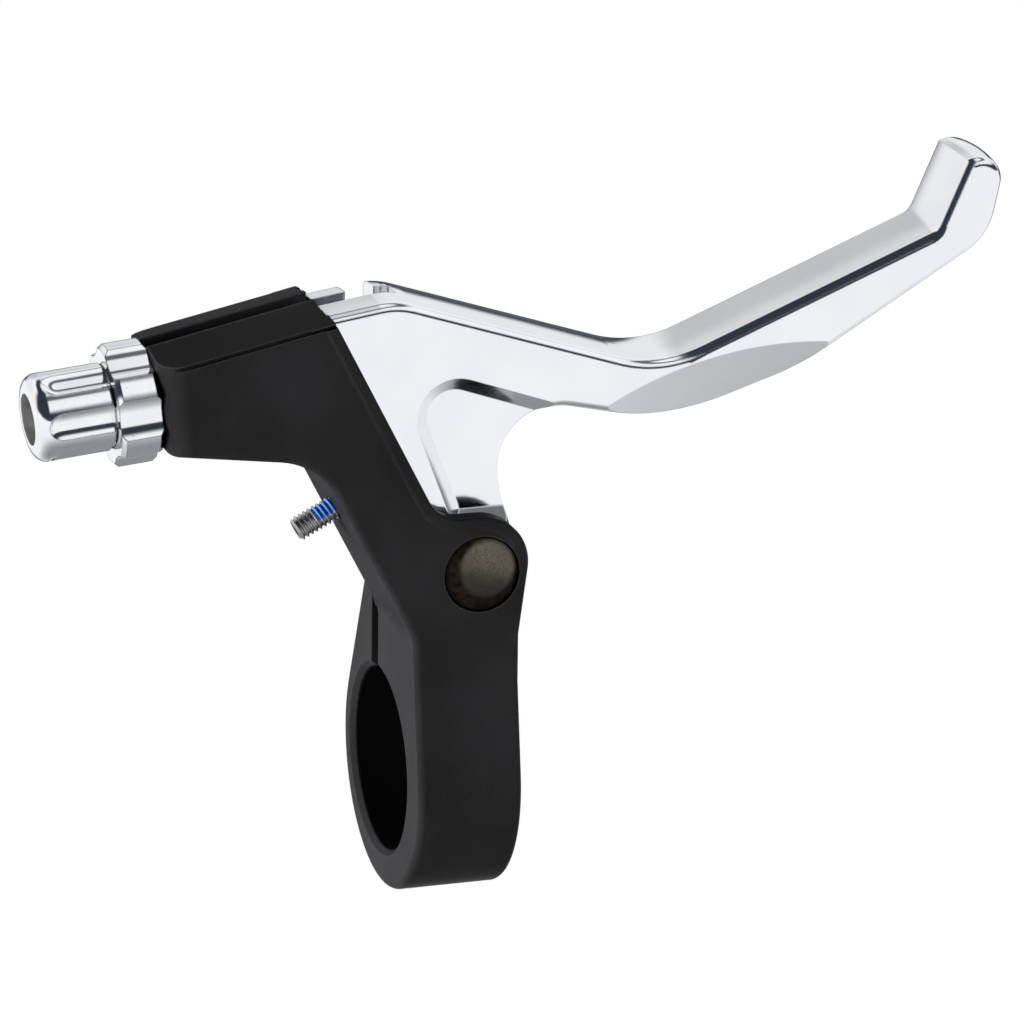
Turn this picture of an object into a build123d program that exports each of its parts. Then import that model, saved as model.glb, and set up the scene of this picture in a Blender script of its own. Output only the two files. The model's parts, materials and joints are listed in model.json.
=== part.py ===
from build123d import *
import os
from math import acos, cos, degrees, radians, sin, tan

# Two-finger brake lever for a flat bar, right-hand side, in millimetres.
# X runs along the bar towards its end, Y away from the face, Z from the bar up to the lever.
# The origin is on the bar's axis, in the middle of the clamp.

# Bar clamp
BAR_DIAMETER = 22.2
CLAMP_WIDTH = 12.9
RING_RADIUS = 15.5
RING_FORWARD = 1.4
SLIT_WIDTH = 2.8
SLIT_BEHIND = 0.2
SLIT_TOP = 19.3
JAW_TOP = 20.8
JAW_DEPTH = 3.6
FACE_TOP = 18.0
BORE_CHAMFER = 0.8

# Bracket casting, seen from its face
FORK_DEPTH = 17.0
FORK_FORWARD = 6.3
FORK_FOOT = 12.5
ARM_LEAN = 27.2
SPINE_WALL = 4.3
ARM_ELBOW_BACK = 20.05
ARM_ELBOW_ROUND = 9.0
ARM_FOOT_ROUND = 6.0
FORK_EDGE_BACK = 18.15
FORK_EDGE_UP = 32.2
THROAT_BACK = 5.35
THROAT_ROUND = 4.5
RIM_WIDTH = 1.5
RIM_SIDE = 3.0
RIM_HEIGHT = 0.4
RIM_END_TURN = 38
RIM_ROUND = 0.35
EDGE_ROUND = 0.8

# Head of the bracket, where the adjuster screws in
HEAD_REACH = 36.9
HEAD_END_HEIGHT = 49.85
HEAD_BELOW_AXIS = 5.0
HEAD_ABOVE_AXIS = 6.85
HEAD_TOP_SLOPE = 11.7
HEAD_CORNER_ROUND = 0.8
HEAD_END_ROUND = 3.0
ROOF_DROP = 1.4
ROOF_FLAT = 4.0
HEAD_GROOVE = 0.5
HEAD_GROOVE_DEPTH = 0.35
CABLE_SLOT = 3.0

# Lever pivot
PIVOT_X = 1.85
PIVOT_Z = 27.2
EAR_TOP = 7.1
EAR_SIDE = 6.6
EAR_ROUND = 6.0
PIVOT_RECESS_DIAMETER = 9.4
PIVOT_RECESS_DEPTH = 1.0
PIVOT_HEAD_DIAMETER = 9.0
PIVOT_HEAD_PROUD = 0.9
PIVOT_HEAD_DOME = 1.2
PIVOT_SLEEVE_DIAMETER = 6.0
PIVOT_SCREW_DIAMETER = 4.0
PIVOT_SCREW_LENGTH = 9.0
PIVOT_SCREW_HEAD_DIAMETER = 8.2
PIVOT_SCREW_HEAD_HEIGHT = 2.2
PIVOT_SCREW_HEX = 3.0

# Lever forging: corners of its edge over the top and back underneath, from the pivot, and their radii
LEVER_THICKNESS = 11.3
LEVER_CROWN = 0.5
LEVER_EDGE_ROUND = 1.2
HUB_RADIUS = 6.0
HUB_MEET = 12.0
NOSE_REACH = 18.45
NOSE_TOP = 32.8
LEVER_TOP = [
    (-9.8, 34.05, 9.5),
    (23.1, 23.2, 15.0),
    (57.6, 37.2, 2.0),
    (61.3, 45.7, 0.4),
]
LEVER_UNDERSIDE = [
    (67.3, 47.6, 3.2),
    (64.8, 35.6, 8.0),
    (40.0, 20.7, 25.0),
    (25.5, 15.5, 27.0),
    (3.4, 20.4, 6.9),
    (3.35, 9.8, 12.0),
]
BELLY_CENTRE = (39.5, -23.2)
BELLY_RADIUS = 48.0
BELLY_WIDTH = 8.0
BELLY_TILT = 25
BELLY_START = 127.0
BELLY_ARC = 53.5
POCKET_DEPTH = 1.8
POCKET_WALL_LEAN = 45
POCKET_CORNER = (-10.9, 27.0)
POCKET_REACH = 30.5
POCKET_ROUND = 5.0
POCKET_LEDGE_FALL = 19.5
POCKET_SIDE_LEAN = 20.4
POCKET_FLOOR = 5.2
LEVER_SLOT_LENGTH = 9.5
WALL_GAP_WIDTH = 3.5
NIPPLE_BACK = 12.5
NIPPLE_UP = 25.1
NIPPLE_HOLE_DIAMETER = 7.4
NIPPLE_FRONT_WALL = 3.6

# Bushes and return spring in the lever hub
BUSH_DIAMETER = 8.0
BUSH_FLANGE_DIAMETER = 10.0
BUSH_FLANGE = 0.95
BUSH_PROUD = 0.15
FRONT_BUSH_LENGTH = 4.7
SPRING_WIRE = 0.9
SPRING_TURNS = 3.5
SPRING_PITCH = 0.95
SPRING_POCKET_DEPTH = 4.5
SPRING_COIL_DIAMETER = 8.8
SPRING_TANG = 2.4
SPRING_LEG = 4.4

# Cable adjuster
ADJUSTER_SLOPE = 5.25
THREAD_DIAMETER = 10.0
THREAD_ENGAGED = 11.0
THREAD_SPARE = 3.0
BARREL_DIAMETER = 10.5
BARREL_LENGTH = 9.4
BARREL_NOSE_ROUND = 1.6
BARREL_FLUTES = 6
FLUTE_RADIUS = 2.9
FLUTE_DEPTH = 0.75
FLUTE_SHORT = 3.2
HOUSING_SOCKET_DIAMETER = 6.2
HOUSING_SOCKET_DEPTH = 8.0
CABLE_HOLE_DIAMETER = 3.0
NUT_DIAMETER = 14.7
NUT_HEIGHT = 5.1
NUT_LOBES = 6
NUT_SCALLOP_RADIUS = 4.5
NUT_SCALLOP_DEPTH = 1.1
NUT_CHAMFER = 0.5

# Reach screw
REACH_UP_ARM = 13.75
REACH_DIAMETER = 3.0
REACH_LENGTH = 10.0
REACH_HEX = 1.5
REACH_HEX_DEPTH = 1.6

# Clamp bolt
CLAMP_BOLT_DIAMETER = 5.0
CLAMP_BOLT_LENGTH = 16.0
CLAMP_BOLT_UP = 15.4
CLAMP_BOLT_HEAD_DIAMETER = 8.5
CLAMP_BOLT_HEAD_HEIGHT = 5.0
CLAMP_BOLT_HEX = 4.0
CLAMP_BOLT_HEX_DEPTH = 2.5
WASHER_DIAMETER = 9.0
WASHER_THICKNESS = 1.0

# Clearances
RUNNING_FIT = 0.05
THREAD_GAP = 0.1
SIDE_GAP = 0.3
HUB_GAP = 0.6
BOLT_HOLE_GAP = 0.25
SEAT_GAP = 0.5
STOP_GAP = 0.2
FACE_GAP = 0.05
BREAK_EDGE = 0.3
CUT_SPARE = 1.0

os.makedirs("parts", exist_ok=True)

# Widths and depths; depths are measured from the bar's axis towards the face
half_clamp = CLAMP_WIDTH / 2
half_fork = FORK_DEPTH / 2
half_panel = half_fork - RIM_HEIGHT
half_lever = LEVER_THICKNESS / 2
half_slot = half_lever + SIDE_GAP
panel_front = FORK_FORWARD + half_panel
panel_rear = FORK_FORWARD - half_panel
lever_front = FORK_FORWARD + half_lever
lever_rear = FORK_FORWARD - half_lever

# Places in the side view
pivot = Vector(PIVOT_X, PIVOT_Z)
up_arm = Vector(-sin(radians(ARM_LEAN)), cos(radians(ARM_LEAN)))
across_arm = Vector(cos(radians(ARM_LEAN)), sin(radians(ARM_LEAN)))
slot_radius = HUB_RADIUS + HUB_GAP
hub_left = pivot - across_arm * HUB_RADIUS
slot_left = pivot - across_arm * slot_radius
arm_left = slot_left - across_arm * SPINE_WALL
nose_x = PIVOT_X - NOSE_REACH
slot_end_x = nose_x - HUB_GAP
nipple = pivot + Vector(-NIPPLE_BACK, NIPPLE_UP)

# Side plane through the middle of the lever, with its normal towards the face
middle = Plane.XZ.offset(FORK_FORWARD)

# Plane on the end of the head, with its normal along the adjuster, out of the head
adjuster_tilt = radians(ADJUSTER_SLOPE)
above_adjuster = Vector(-sin(adjuster_tilt), cos(adjuster_tilt))
head_end = Vector(-HEAD_REACH, HEAD_END_HEIGHT)
head_face = Plane(
    origin=(head_end.X, -FORK_FORWARD, head_end.Y),
    x_dir=(0, -1, 0),
    z_dir=(-cos(adjuster_tilt), 0, -sin(adjuster_tilt)),
)

# Plane along the adjuster, with its normal up and its second direction out of the head
head_plan = Plane(
    origin=head_face.origin,
    x_dir=(0, 1, 0),
    z_dir=(above_adjuster.X, 0, above_adjuster.Y),
)

# Plane across the reach screw, with its normal into the arm
reach_foot = pivot + up_arm * REACH_UP_ARM
reach = Plane(
    origin=(reach_foot.X, -FORK_FORWARD, reach_foot.Y),
    x_dir=(0, 1, 0),
    z_dir=(across_arm.X, 0, across_arm.Y),
)


def on_arm(start, x):
    """Point at x on the line through start that runs up the arm."""
    return start + up_arm * ((x - start.X) / up_arm.X)


def closed_outline(corners):
    """Closed line through corners given as (point, radius)."""
    return FilletPolyline(
        *[point for point, radius in corners],
        radius=[radius for point, radius in corners],
        close=True,
    )


def hexagon(across_flats):
    """Hexagon by its width across flats."""
    return RegularPolygon(across_flats / 2, 6, major_radius=False)


# Side outline of the bracket
fork_edge = pivot + Vector(-FORK_EDGE_BACK, FORK_EDGE_UP)
head_low = head_end - above_adjuster * HEAD_BELOW_AXIS
head_high = head_end + above_adjuster * HEAD_ABOVE_AXIS
throat = pivot + Vector(-THROAT_BACK, EAR_TOP)
clear_x = pivot.X + EAR_SIDE + EAR_ROUND
head_rise = tan(radians(HEAD_TOP_SLOPE))
fork_slant = (fork_edge.X - throat.X) / (fork_edge.Y - throat.Y)
head_tip_z = (head_high.Y + head_rise * (fork_edge.X - fork_slant * fork_edge.Y - head_high.X)) / (
    1 - head_rise * fork_slant
)
head_tip = Vector(fork_edge.X + fork_slant * (head_tip_z - fork_edge.Y), head_tip_z)
fork_outline = [
    (head_low, HEAD_CORNER_ROUND),
    (head_high, 0),
    (head_tip, 0),
    (throat, THROAT_ROUND),
    (pivot + Vector(EAR_SIDE, EAR_TOP), EAR_ROUND),
    (Vector(half_clamp, SLIT_TOP), EAR_ROUND),
    (Vector(half_clamp, FORK_FOOT), 0),
    (Vector(-half_clamp, FORK_FOOT), 0),
    (on_arm(arm_left, -half_clamp), ARM_FOOT_ROUND),
    (on_arm(arm_left, PIVOT_X - ARM_ELBOW_BACK), ARM_ELBOW_ROUND),
]
rim_window = [
    head_tip - across_arm * RIM_SIDE,
    throat - across_arm * RIM_SIDE,
    pivot,
    (clear_x, PIVOT_Z + (clear_x - PIVOT_X) * tan(radians(RIM_END_TURN))),
    (clear_x, head_tip.Y),
    head_tip + up_arm * RIM_WIDTH,
]

# Top line of the head, as a plane across it
head_top = Plane(
    origin=(head_high.X, -FORK_FORWARD, head_high.Y),
    x_dir=(0, 1, 0),
    z_dir=(cos(radians(HEAD_TOP_SLOPE)), 0, sin(radians(HEAD_TOP_SLOPE))),
)
head_length = (head_tip - head_high).length

# Side view of the clamp: the ring with its flat face in front and its jaw behind
ring_centre = Vector(-RING_FORWARD, 0)


def ring_touch(point, side):
    """Where a line from point touches the ring, on its front side for 1 and its rear side for -1."""
    reach_out = point - ring_centre
    turn = degrees(acos(RING_RADIUS / reach_out.length))
    return ring_centre + reach_out.normalized().rotate(Axis.Z, side * turn) * RING_RADIUS


slit_rear = SLIT_BEHIND + SLIT_WIDTH
face_knee = Vector(-panel_front, FACE_TOP)
face_foot = ring_touch(face_knee, 1)
jaw_seat = slit_rear + JAW_DEPTH
jaw_tip = Vector(jaw_seat, JAW_TOP)
jaw_foot = ring_touch(jaw_tip, -1)


def on_ring_outside(edge):
    """True for the edges of the clamp's ends that run round its outside."""
    place = edge.center()
    return place.Z < 0 or place.Y < -panel_front - FACE_GAP or place.Y > jaw_tip.X


def on_arm_outside(edge):
    """True for the edges of the casting's sides along the arm and the head's floor."""
    place = edge.center()
    on_side = min(abs(place.Y + panel_front), abs(place.Y + panel_rear)) < FACE_GAP
    along = FORK_FOOT < place.Z < head_low.Y + HEAD_CORNER_ROUND
    return on_side and along and place.X < FACE_GAP - half_clamp


def on_rim(face):
    """True for the flat tops of the raised rims."""
    return abs(abs(face.center().Y + FORK_FORWARD) - half_fork) < FACE_GAP


def on_bore_rim(edge):
    """True for the two rims of the bar bore."""
    on_end = abs(abs(edge.center().X) - half_clamp) < FACE_GAP
    return edge.geom_type == GeomType.CIRCLE and on_end and abs(edge.radius - BAR_DIAMETER / 2) < FACE_GAP


# Cable passage in the head, as far as the fork's mouth
cable_reach = (HEAD_REACH + slot_end_x) / cos(adjuster_tilt) + CUT_SPARE

# Side outline of the lever, from the nose along the top and back under the blade to the hub
hub_meet = pivot + Vector(HUB_RADIUS, 0).rotate(Axis.Z, HUB_MEET)
top_edge = [(Vector(nose_x, PIVOT_Z + NOSE_TOP), 0)]
top_edge += [(pivot + Vector(x, z), radius) for x, z, radius in LEVER_TOP]
under_edge = [(pivot + Vector(x, z), radius) for x, z, radius in LEVER_UNDERSIDE]
under_edge += [(hub_meet, 0)]
lever_outline = top_edge + under_edge + [(hub_left, 0), (on_arm(hub_left, nose_x), 0)]
crown_radius = (half_lever**2 + LEVER_CROWN**2) / (2 * LEVER_CROWN)
crown_depth = LEVER_CROWN + LEVER_EDGE_ROUND

# The crown's two runs, over the top and back underneath, which cross at the hook's sharp corner
hook_corner = top_edge[-1][0]
hook_rise = (hook_corner - top_edge[-2][0]).normalized()
hook_top = (under_edge[0][0] - hook_corner).normalized()
top_run = top_edge[:-1] + [(hook_corner + hook_rise * crown_depth, 0)]
under_run = [(hook_corner - hook_top * crown_depth, 0)] + under_edge

# Belly of the blade, and pocket in the web, open at the web's free edge
belly_centre = pivot + Vector(*BELLY_CENTRE)
belly_slope = tan(radians(BELLY_TILT))
belly_out = Vector(1, 0).rotate(Axis.Z, BELLY_START)
belly = Plane(
    origin=(belly_centre.X, -FORK_FORWARD, belly_centre.Y),
    x_dir=(belly_out.X, 0, belly_out.Y),
    z_dir=(-belly_out.Y, 0, belly_out.X),
)
pocket_corner = pivot + Vector(*POCKET_CORNER)
pocket_floor = PIVOT_Z + POCKET_FLOOR
ledge_drop = POCKET_REACH * tan(radians(POCKET_LEDGE_FALL))
side_run = (pocket_corner.Y - pocket_floor) * tan(radians(POCKET_SIDE_LEAN))
pocket_outline = [
    (pocket_corner, POCKET_ROUND),
    (pocket_corner + Vector(POCKET_REACH, -ledge_drop), 0),
    (Vector(pocket_corner.X + POCKET_REACH, pocket_floor), 0),
    (Vector(pocket_corner.X + side_run, pocket_floor), 0),
]

# Return spring: a coil in the hub's rear pocket, a leg to the lever and a tang to the rear ear
spring_radius = SPRING_COIL_DIAMETER / 2
spring_pocket_radius = spring_radius + SPRING_WIRE / 2 + SIDE_GAP
spring_rear = lever_rear + SPRING_WIRE / 2 + FACE_GAP
spring_front = spring_rear + SPRING_TURNS * SPRING_PITCH
leg_turn = 360 * SPRING_TURNS
leg_start = pivot + Vector(sin(radians(leg_turn)), -cos(radians(leg_turn))) * spring_radius
tang_place = pivot + Vector(0, -spring_radius)
tang_end = spring_rear - SPRING_TANG

# Depths of the pivot's pieces
pin_seat = panel_front - PIVOT_RECESS_DEPTH
pin_top = panel_front + PIVOT_HEAD_PROUD
dome_radius = ((PIVOT_HEAD_DIAMETER / 2) ** 2 + PIVOT_HEAD_DOME**2) / (2 * PIVOT_HEAD_DOME)
sleeve_end = panel_rear + SEAT_GAP
rear_bush_front = lever_front + BUSH_PROUD - FRONT_BUSH_LENGTH - FACE_GAP

# Places along the adjuster, outwards from the head
barrel_foot = NUT_HEIGHT + 2 * FACE_GAP
barrel_nose = barrel_foot + BARREL_LENGTH
flute_centre = BARREL_DIAMETER / 2 + FLUTE_RADIUS - FLUTE_DEPTH
scallop_centre = NUT_DIAMETER / 2 + NUT_SCALLOP_RADIUS - NUT_SCALLOP_DEPTH


def outwards(face):
    """How far a face lies along the adjuster, out of the head."""
    return head_face.to_local_coords(face.center()).Z


with BuildPart() as bracket:
    # Arm, head and ears
    with BuildSketch(middle):
        with BuildLine():
            closed_outline(fork_outline)
        make_face()
    extrude(amount=half_panel, both=True)
    # Clamp ring, face and jaw
    with BuildSketch(Plane.YZ):
        with Locations(ring_centre):
            Circle(RING_RADIUS)
        with BuildLine():
            Polyline(
                ring_centre,
                face_foot,
                face_knee,
                (-panel_front, SLIT_TOP),
                (SLIT_BEHIND, SLIT_TOP),
                (SLIT_BEHIND, 0),
                close=True,
            )
        make_face()
        with BuildLine():
            Polyline((slit_rear, 0), (slit_rear, JAW_TOP), jaw_tip, jaw_foot, close=True)
        make_face()
    extrude(amount=half_clamp, both=True)
    # Rounded edges of the arm, the head's floor and the ring
    ring_edges = bracket.faces().filter_by(Plane.YZ).edges().filter_by(on_ring_outside)
    arm_edges = bracket.faces().filter_by(Plane.XZ).edges().filter_by(on_arm_outside)
    fillet(ring_edges + arm_edges, EDGE_ROUND)
    # Raised rim along the mouth of the fork and over the ears
    with BuildSketch(middle):
        with BuildLine():
            closed_outline(fork_outline)
        make_face()
        offset(amount=-RIM_WIDTH, kind=Kind.INTERSECTION, mode=Mode.SUBTRACT)
        Polygon(*rim_window, align=None, mode=Mode.INTERSECT)
    extrude(amount=half_fork, both=True)
    fillet(bracket.faces().filter_by(on_rim).edges(), RIM_ROUND)
    # Sloping roof on both sides of the head, with a groove under its eaves
    with BuildSketch(head_top):
        with BuildLine():
            Polyline(
                (ROOF_FLAT / 2, 0),
                (half_fork, -ROOF_DROP),
                (half_fork + CUT_SPARE, -ROOF_DROP),
                (half_fork + CUT_SPARE, CUT_SPARE),
                (ROOF_FLAT / 2, CUT_SPARE),
                close=True,
            )
        make_face()
        with Locations((half_panel - HEAD_GROOVE_DEPTH, -ROOF_DROP)):
            Rectangle(HEAD_GROOVE_DEPTH + CUT_SPARE, HEAD_GROOVE, align=(Align.MIN, Align.MAX))
        mirror(about=Plane.YZ)
    extrude(amount=head_length + CUT_SPARE, both=True, mode=Mode.SUBTRACT)
    # Rounded upright corners of the head's end
    with BuildSketch(head_plan):
        with Locations((half_panel - HEAD_END_ROUND, -HEAD_END_ROUND)):
            Rectangle(2 * HEAD_END_ROUND, 2 * HEAD_END_ROUND, align=Align.MIN)
            Circle(HEAD_END_ROUND, mode=Mode.SUBTRACT)
        mirror(about=Plane.YZ)
    extrude(amount=2 * HEAD_ABOVE_AXIS, both=True, mode=Mode.SUBTRACT)
    # Mouth of the fork, round the hub and up along the spine
    with BuildSketch(middle):
        with Locations(pivot):
            Circle(slot_radius)
        with BuildLine():
            Polyline(
                slot_left,
                on_arm(slot_left, slot_end_x),
                (slot_end_x, head_tip.Y + CUT_SPARE),
                (clear_x, head_tip.Y + CUT_SPARE),
                (clear_x, PIVOT_Z - slot_radius),
                (PIVOT_X, PIVOT_Z - slot_radius),
                close=True,
            )
        make_face()
    extrude(amount=half_slot, both=True, mode=Mode.SUBTRACT)
    # Bar bore and slit
    with BuildSketch(Plane.YZ):
        Circle(BAR_DIAMETER / 2)
        with Locations((SLIT_BEHIND, 0)):
            Rectangle(SLIT_WIDTH, SLIT_TOP, align=Align.MIN)
    extrude(amount=half_clamp + CUT_SPARE, both=True, mode=Mode.SUBTRACT)
    # Adjuster thread, cable passage and the slot that lets the cable in from above
    with BuildSketch(head_face):
        Circle(THREAD_DIAMETER / 2)
    extrude(amount=-(THREAD_ENGAGED + THREAD_SPARE), mode=Mode.SUBTRACT)
    with BuildSketch(head_face):
        Circle(CABLE_SLOT / 2)
        Rectangle(CABLE_SLOT, HEAD_ABOVE_AXIS * 2, align=(Align.CENTER, Align.MIN))
    extrude(amount=-cable_reach, mode=Mode.SUBTRACT)
    # Pivot holes, with a recess for the pin's head
    with BuildSketch(Plane.XZ.offset(panel_front)):
        with Locations(pivot):
            Circle(PIVOT_RECESS_DIAMETER / 2)
    extrude(amount=-PIVOT_RECESS_DEPTH, mode=Mode.SUBTRACT)
    with BuildSketch(middle):
        with Locations(pivot):
            Circle(PIVOT_SLEEVE_DIAMETER / 2 + RUNNING_FIT)
    extrude(amount=half_fork, both=True, mode=Mode.SUBTRACT)
    # Hole for the spring's tang in the rear ear
    with BuildSketch(Plane.XZ.offset(tang_end - SIDE_GAP)):
        with Locations(tang_place):
            Circle(SPRING_WIRE / 2 + BOLT_HOLE_GAP)
    extrude(amount=lever_rear - tang_end, mode=Mode.SUBTRACT)
    # Reach screw thread through the spine
    with BuildSketch(reach.offset(-slot_radius + CUT_SPARE)):
        Circle(REACH_DIAMETER / 2 + RUNNING_FIT)
    extrude(amount=-(SPINE_WALL + 2 * CUT_SPARE), mode=Mode.SUBTRACT)
    # Clamp bolt: seat and clearance hole in the jaw, blind thread in the block
    with BuildSketch(Plane.XZ.offset(-jaw_seat)):
        with Locations((0, CLAMP_BOLT_UP)):
            Circle(WASHER_DIAMETER / 2 + SEAT_GAP)
    extrude(amount=-RING_RADIUS, mode=Mode.SUBTRACT)
    with BuildSketch(Plane.XZ.offset(-jaw_seat)):
        with Locations((0, CLAMP_BOLT_UP)):
            Circle(CLAMP_BOLT_DIAMETER / 2 + BOLT_HOLE_GAP)
    extrude(amount=jaw_seat, mode=Mode.SUBTRACT)
    with BuildSketch(Plane.XZ.offset(-jaw_seat)):
        with Locations((0, CLAMP_BOLT_UP)):
            Circle(CLAMP_BOLT_DIAMETER / 2 + RUNNING_FIT)
    extrude(amount=CLAMP_BOLT_LENGTH + CUT_SPARE, mode=Mode.SUBTRACT)
    # Broken edges of the bar bore
    bore_ends = bracket.edges().filter_by(on_bore_rim)
    chamfer(bore_ends, BORE_CHAMFER)

# Section of the lever's edge: a flat crown with rounded corners
with BuildSketch() as crown_section:
    Rectangle(LEVER_THICKNESS, LEVER_THICKNESS)
    with Locations((0, half_lever - crown_radius)):
        Circle(crown_radius, mode=Mode.INTERSECT)
    fillet(crown_section.vertices().group_by(Axis.Y)[-1], LEVER_EDGE_ROUND)

with BuildPart() as lever:
    # Blade, web and hub
    with BuildSketch(middle):
        with BuildLine():
            closed_outline(lever_outline)
        make_face()
        with Locations(pivot):
            Circle(HUB_RADIUS)
    extrude(amount=half_lever, both=True)
    # Crown all round the edge
    for run in (top_run, under_run):
        start = run[0][0]
        ahead = run[1][0] - start
        with BuildLine(middle):
            FilletPolyline(
                *[(point.X, point.Y) for point, radius in run],
                radius=[radius for point, radius in run[1:-1]],
            )
        with BuildSketch(Plane((start.X, -FORK_FORWARD, start.Y), (0, 1, 0), (ahead.X, 0, ahead.Y))):
            with Locations((0, CUT_SPARE)):
                Rectangle(LEVER_THICKNESS + CUT_SPARE, crown_depth + CUT_SPARE, align=(Align.CENTER, Align.MAX))
            with Locations((0, -half_lever)):
                add(crown_section.sketch_local, mode=Mode.SUBTRACT)
        sweep(mode=Mode.SUBTRACT)
    # Hollowed belly on both sides of the blade
    with BuildSketch(belly):
        with BuildLine():
            Polyline(
                (BELLY_RADIUS - BELLY_WIDTH, half_lever - BELLY_WIDTH * belly_slope),
                (BELLY_RADIUS - BELLY_WIDTH, half_lever + CUT_SPARE),
                (BELLY_RADIUS + CUT_SPARE / belly_slope, half_lever + CUT_SPARE),
                close=True,
            )
        make_face()
        mirror(about=Plane.XZ)
    revolve(axis=Axis(belly.origin, (0, 1, 0)), revolution_arc=BELLY_ARC, mode=Mode.SUBTRACT)
    # Pocket in the face of the web, with sloping walls
    with BuildSketch(Plane.XZ.offset(lever_front)):
        with BuildLine():
            closed_outline(pocket_outline)
        make_face()
    extrude(amount=-POCKET_DEPTH, taper=POCKET_WALL_LEAN, mode=Mode.SUBTRACT)
    # Cable slot in the nose, gap in its rear wall and seat for the cable's nipple
    with BuildSketch(middle):
        with Locations((nose_x, nipple.Y - CABLE_SLOT / 2)):
            Rectangle(LEVER_SLOT_LENGTH, NOSE_TOP, align=Align.MIN)
    extrude(amount=CABLE_SLOT / 2, both=True, mode=Mode.SUBTRACT)
    with BuildSketch(middle):
        with Locations(nipple):
            Rectangle(WALL_GAP_WIDTH, NOSE_TOP, align=(Align.CENTER, Align.MIN))
    extrude(amount=-LEVER_THICKNESS, mode=Mode.SUBTRACT)
    with BuildSketch(Plane.XZ.offset(lever_rear)):
        with Locations(nipple):
            Circle(NIPPLE_HOLE_DIAMETER / 2)
    extrude(amount=LEVER_THICKNESS - NIPPLE_FRONT_WALL, mode=Mode.SUBTRACT)
    # Hub bore, seat of the front bush's flange and pocket for the return spring
    with BuildSketch(middle):
        with Locations(pivot):
            Circle(BUSH_DIAMETER / 2)
    extrude(amount=half_lever, both=True, mode=Mode.SUBTRACT)
    with BuildSketch(Plane.XZ.offset(lever_front)):
        with Locations(pivot):
            Circle(BUSH_FLANGE_DIAMETER / 2)
    extrude(amount=BUSH_PROUD - BUSH_FLANGE, mode=Mode.SUBTRACT)
    with BuildSketch(Plane.XZ.offset(lever_rear)):
        with Locations(pivot):
            Circle(spring_pocket_radius)
    extrude(amount=SPRING_POCKET_DEPTH, mode=Mode.SUBTRACT)
    # Notch for the spring's leg
    with BuildSketch(Plane.XZ.offset(lever_rear)):
        with Locations(leg_start):
            Rectangle(SPRING_LEG + SEAT_GAP, SPRING_WIRE + SEAT_GAP, leg_turn, (Align.MIN, Align.CENTER))
    extrude(amount=SPRING_POCKET_DEPTH, mode=Mode.SUBTRACT)

with BuildPart() as pivot_pin:
    # Domed head in the recess of the front ear
    with BuildSketch(Plane.XZ.offset(pin_seat)):
        with Locations(pivot):
            Circle(PIVOT_HEAD_DIAMETER / 2)
    extrude(amount=pin_top - pin_seat)
    with Locations((PIVOT_X, dome_radius - pin_top, PIVOT_Z)):
        Sphere(dome_radius, mode=Mode.INTERSECT)
    # Sleeve through both ears, threaded for the screw from behind
    with BuildSketch(Plane.XZ.offset(pin_seat)):
        with Locations(pivot):
            Circle(PIVOT_SLEEVE_DIAMETER / 2)
    extrude(amount=sleeve_end - pin_seat)
    with BuildSketch(Plane.XZ.offset(sleeve_end)):
        with Locations(pivot):
            Circle(PIVOT_SCREW_DIAMETER / 2 + RUNNING_FIT)
    extrude(amount=PIVOT_SCREW_LENGTH, mode=Mode.SUBTRACT)

with BuildPart() as pivot_screw:
    with BuildSketch(Plane.XZ.offset(panel_rear)):
        with Locations(pivot):
            Circle(PIVOT_SCREW_HEAD_DIAMETER / 2)
    extrude(amount=-PIVOT_SCREW_HEAD_HEIGHT)
    chamfer(pivot_screw.faces().sort_by(Axis.Y)[-1].edges(), BREAK_EDGE)
    with BuildSketch(Plane.XZ.offset(panel_rear)):
        with Locations(pivot):
            Circle(PIVOT_SCREW_DIAMETER / 2)
    extrude(amount=PIVOT_SCREW_LENGTH)
    with BuildSketch(Plane.XZ.offset(panel_rear - PIVOT_SCREW_HEAD_HEIGHT)):
        with Locations(pivot):
            hexagon(PIVOT_SCREW_HEX)
    extrude(amount=PIVOT_SCREW_HEAD_HEIGHT, mode=Mode.SUBTRACT)

with BuildPart() as front_bush:
    with BuildSketch(Plane.XZ.offset(lever_front + BUSH_PROUD)):
        with Locations(pivot):
            Circle(BUSH_FLANGE_DIAMETER / 2)
    extrude(amount=-BUSH_FLANGE)
    with BuildSketch(Plane.XZ.offset(lever_front + BUSH_PROUD)):
        with Locations(pivot):
            Circle(BUSH_DIAMETER / 2)
    extrude(amount=-FRONT_BUSH_LENGTH)
    with BuildSketch(Plane.XZ.offset(lever_front + BUSH_PROUD)):
        with Locations(pivot):
            Circle(PIVOT_SLEEVE_DIAMETER / 2 + RUNNING_FIT)
    extrude(amount=-FRONT_BUSH_LENGTH, mode=Mode.SUBTRACT)

with BuildPart() as rear_bush:
    # Seat in the hub's bore, then a post that the spring coils round
    with BuildSketch(Plane.XZ.offset(rear_bush_front)):
        with Locations(pivot):
            Circle(BUSH_DIAMETER / 2)
    extrude(amount=lever_rear + SPRING_POCKET_DEPTH - rear_bush_front)
    with BuildSketch(Plane.XZ.offset(rear_bush_front)):
        with Locations(pivot):
            Circle(spring_radius - SPRING_WIRE / 2 - SIDE_GAP)
    extrude(amount=lever_rear - BUSH_PROUD - rear_bush_front)
    with BuildSketch(Plane.XZ.offset(rear_bush_front)):
        with Locations(pivot):
            Circle(PIVOT_SLEEVE_DIAMETER / 2 + RUNNING_FIT)
    extrude(amount=lever_rear - BUSH_PROUD - rear_bush_front, mode=Mode.SUBTRACT)

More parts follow.
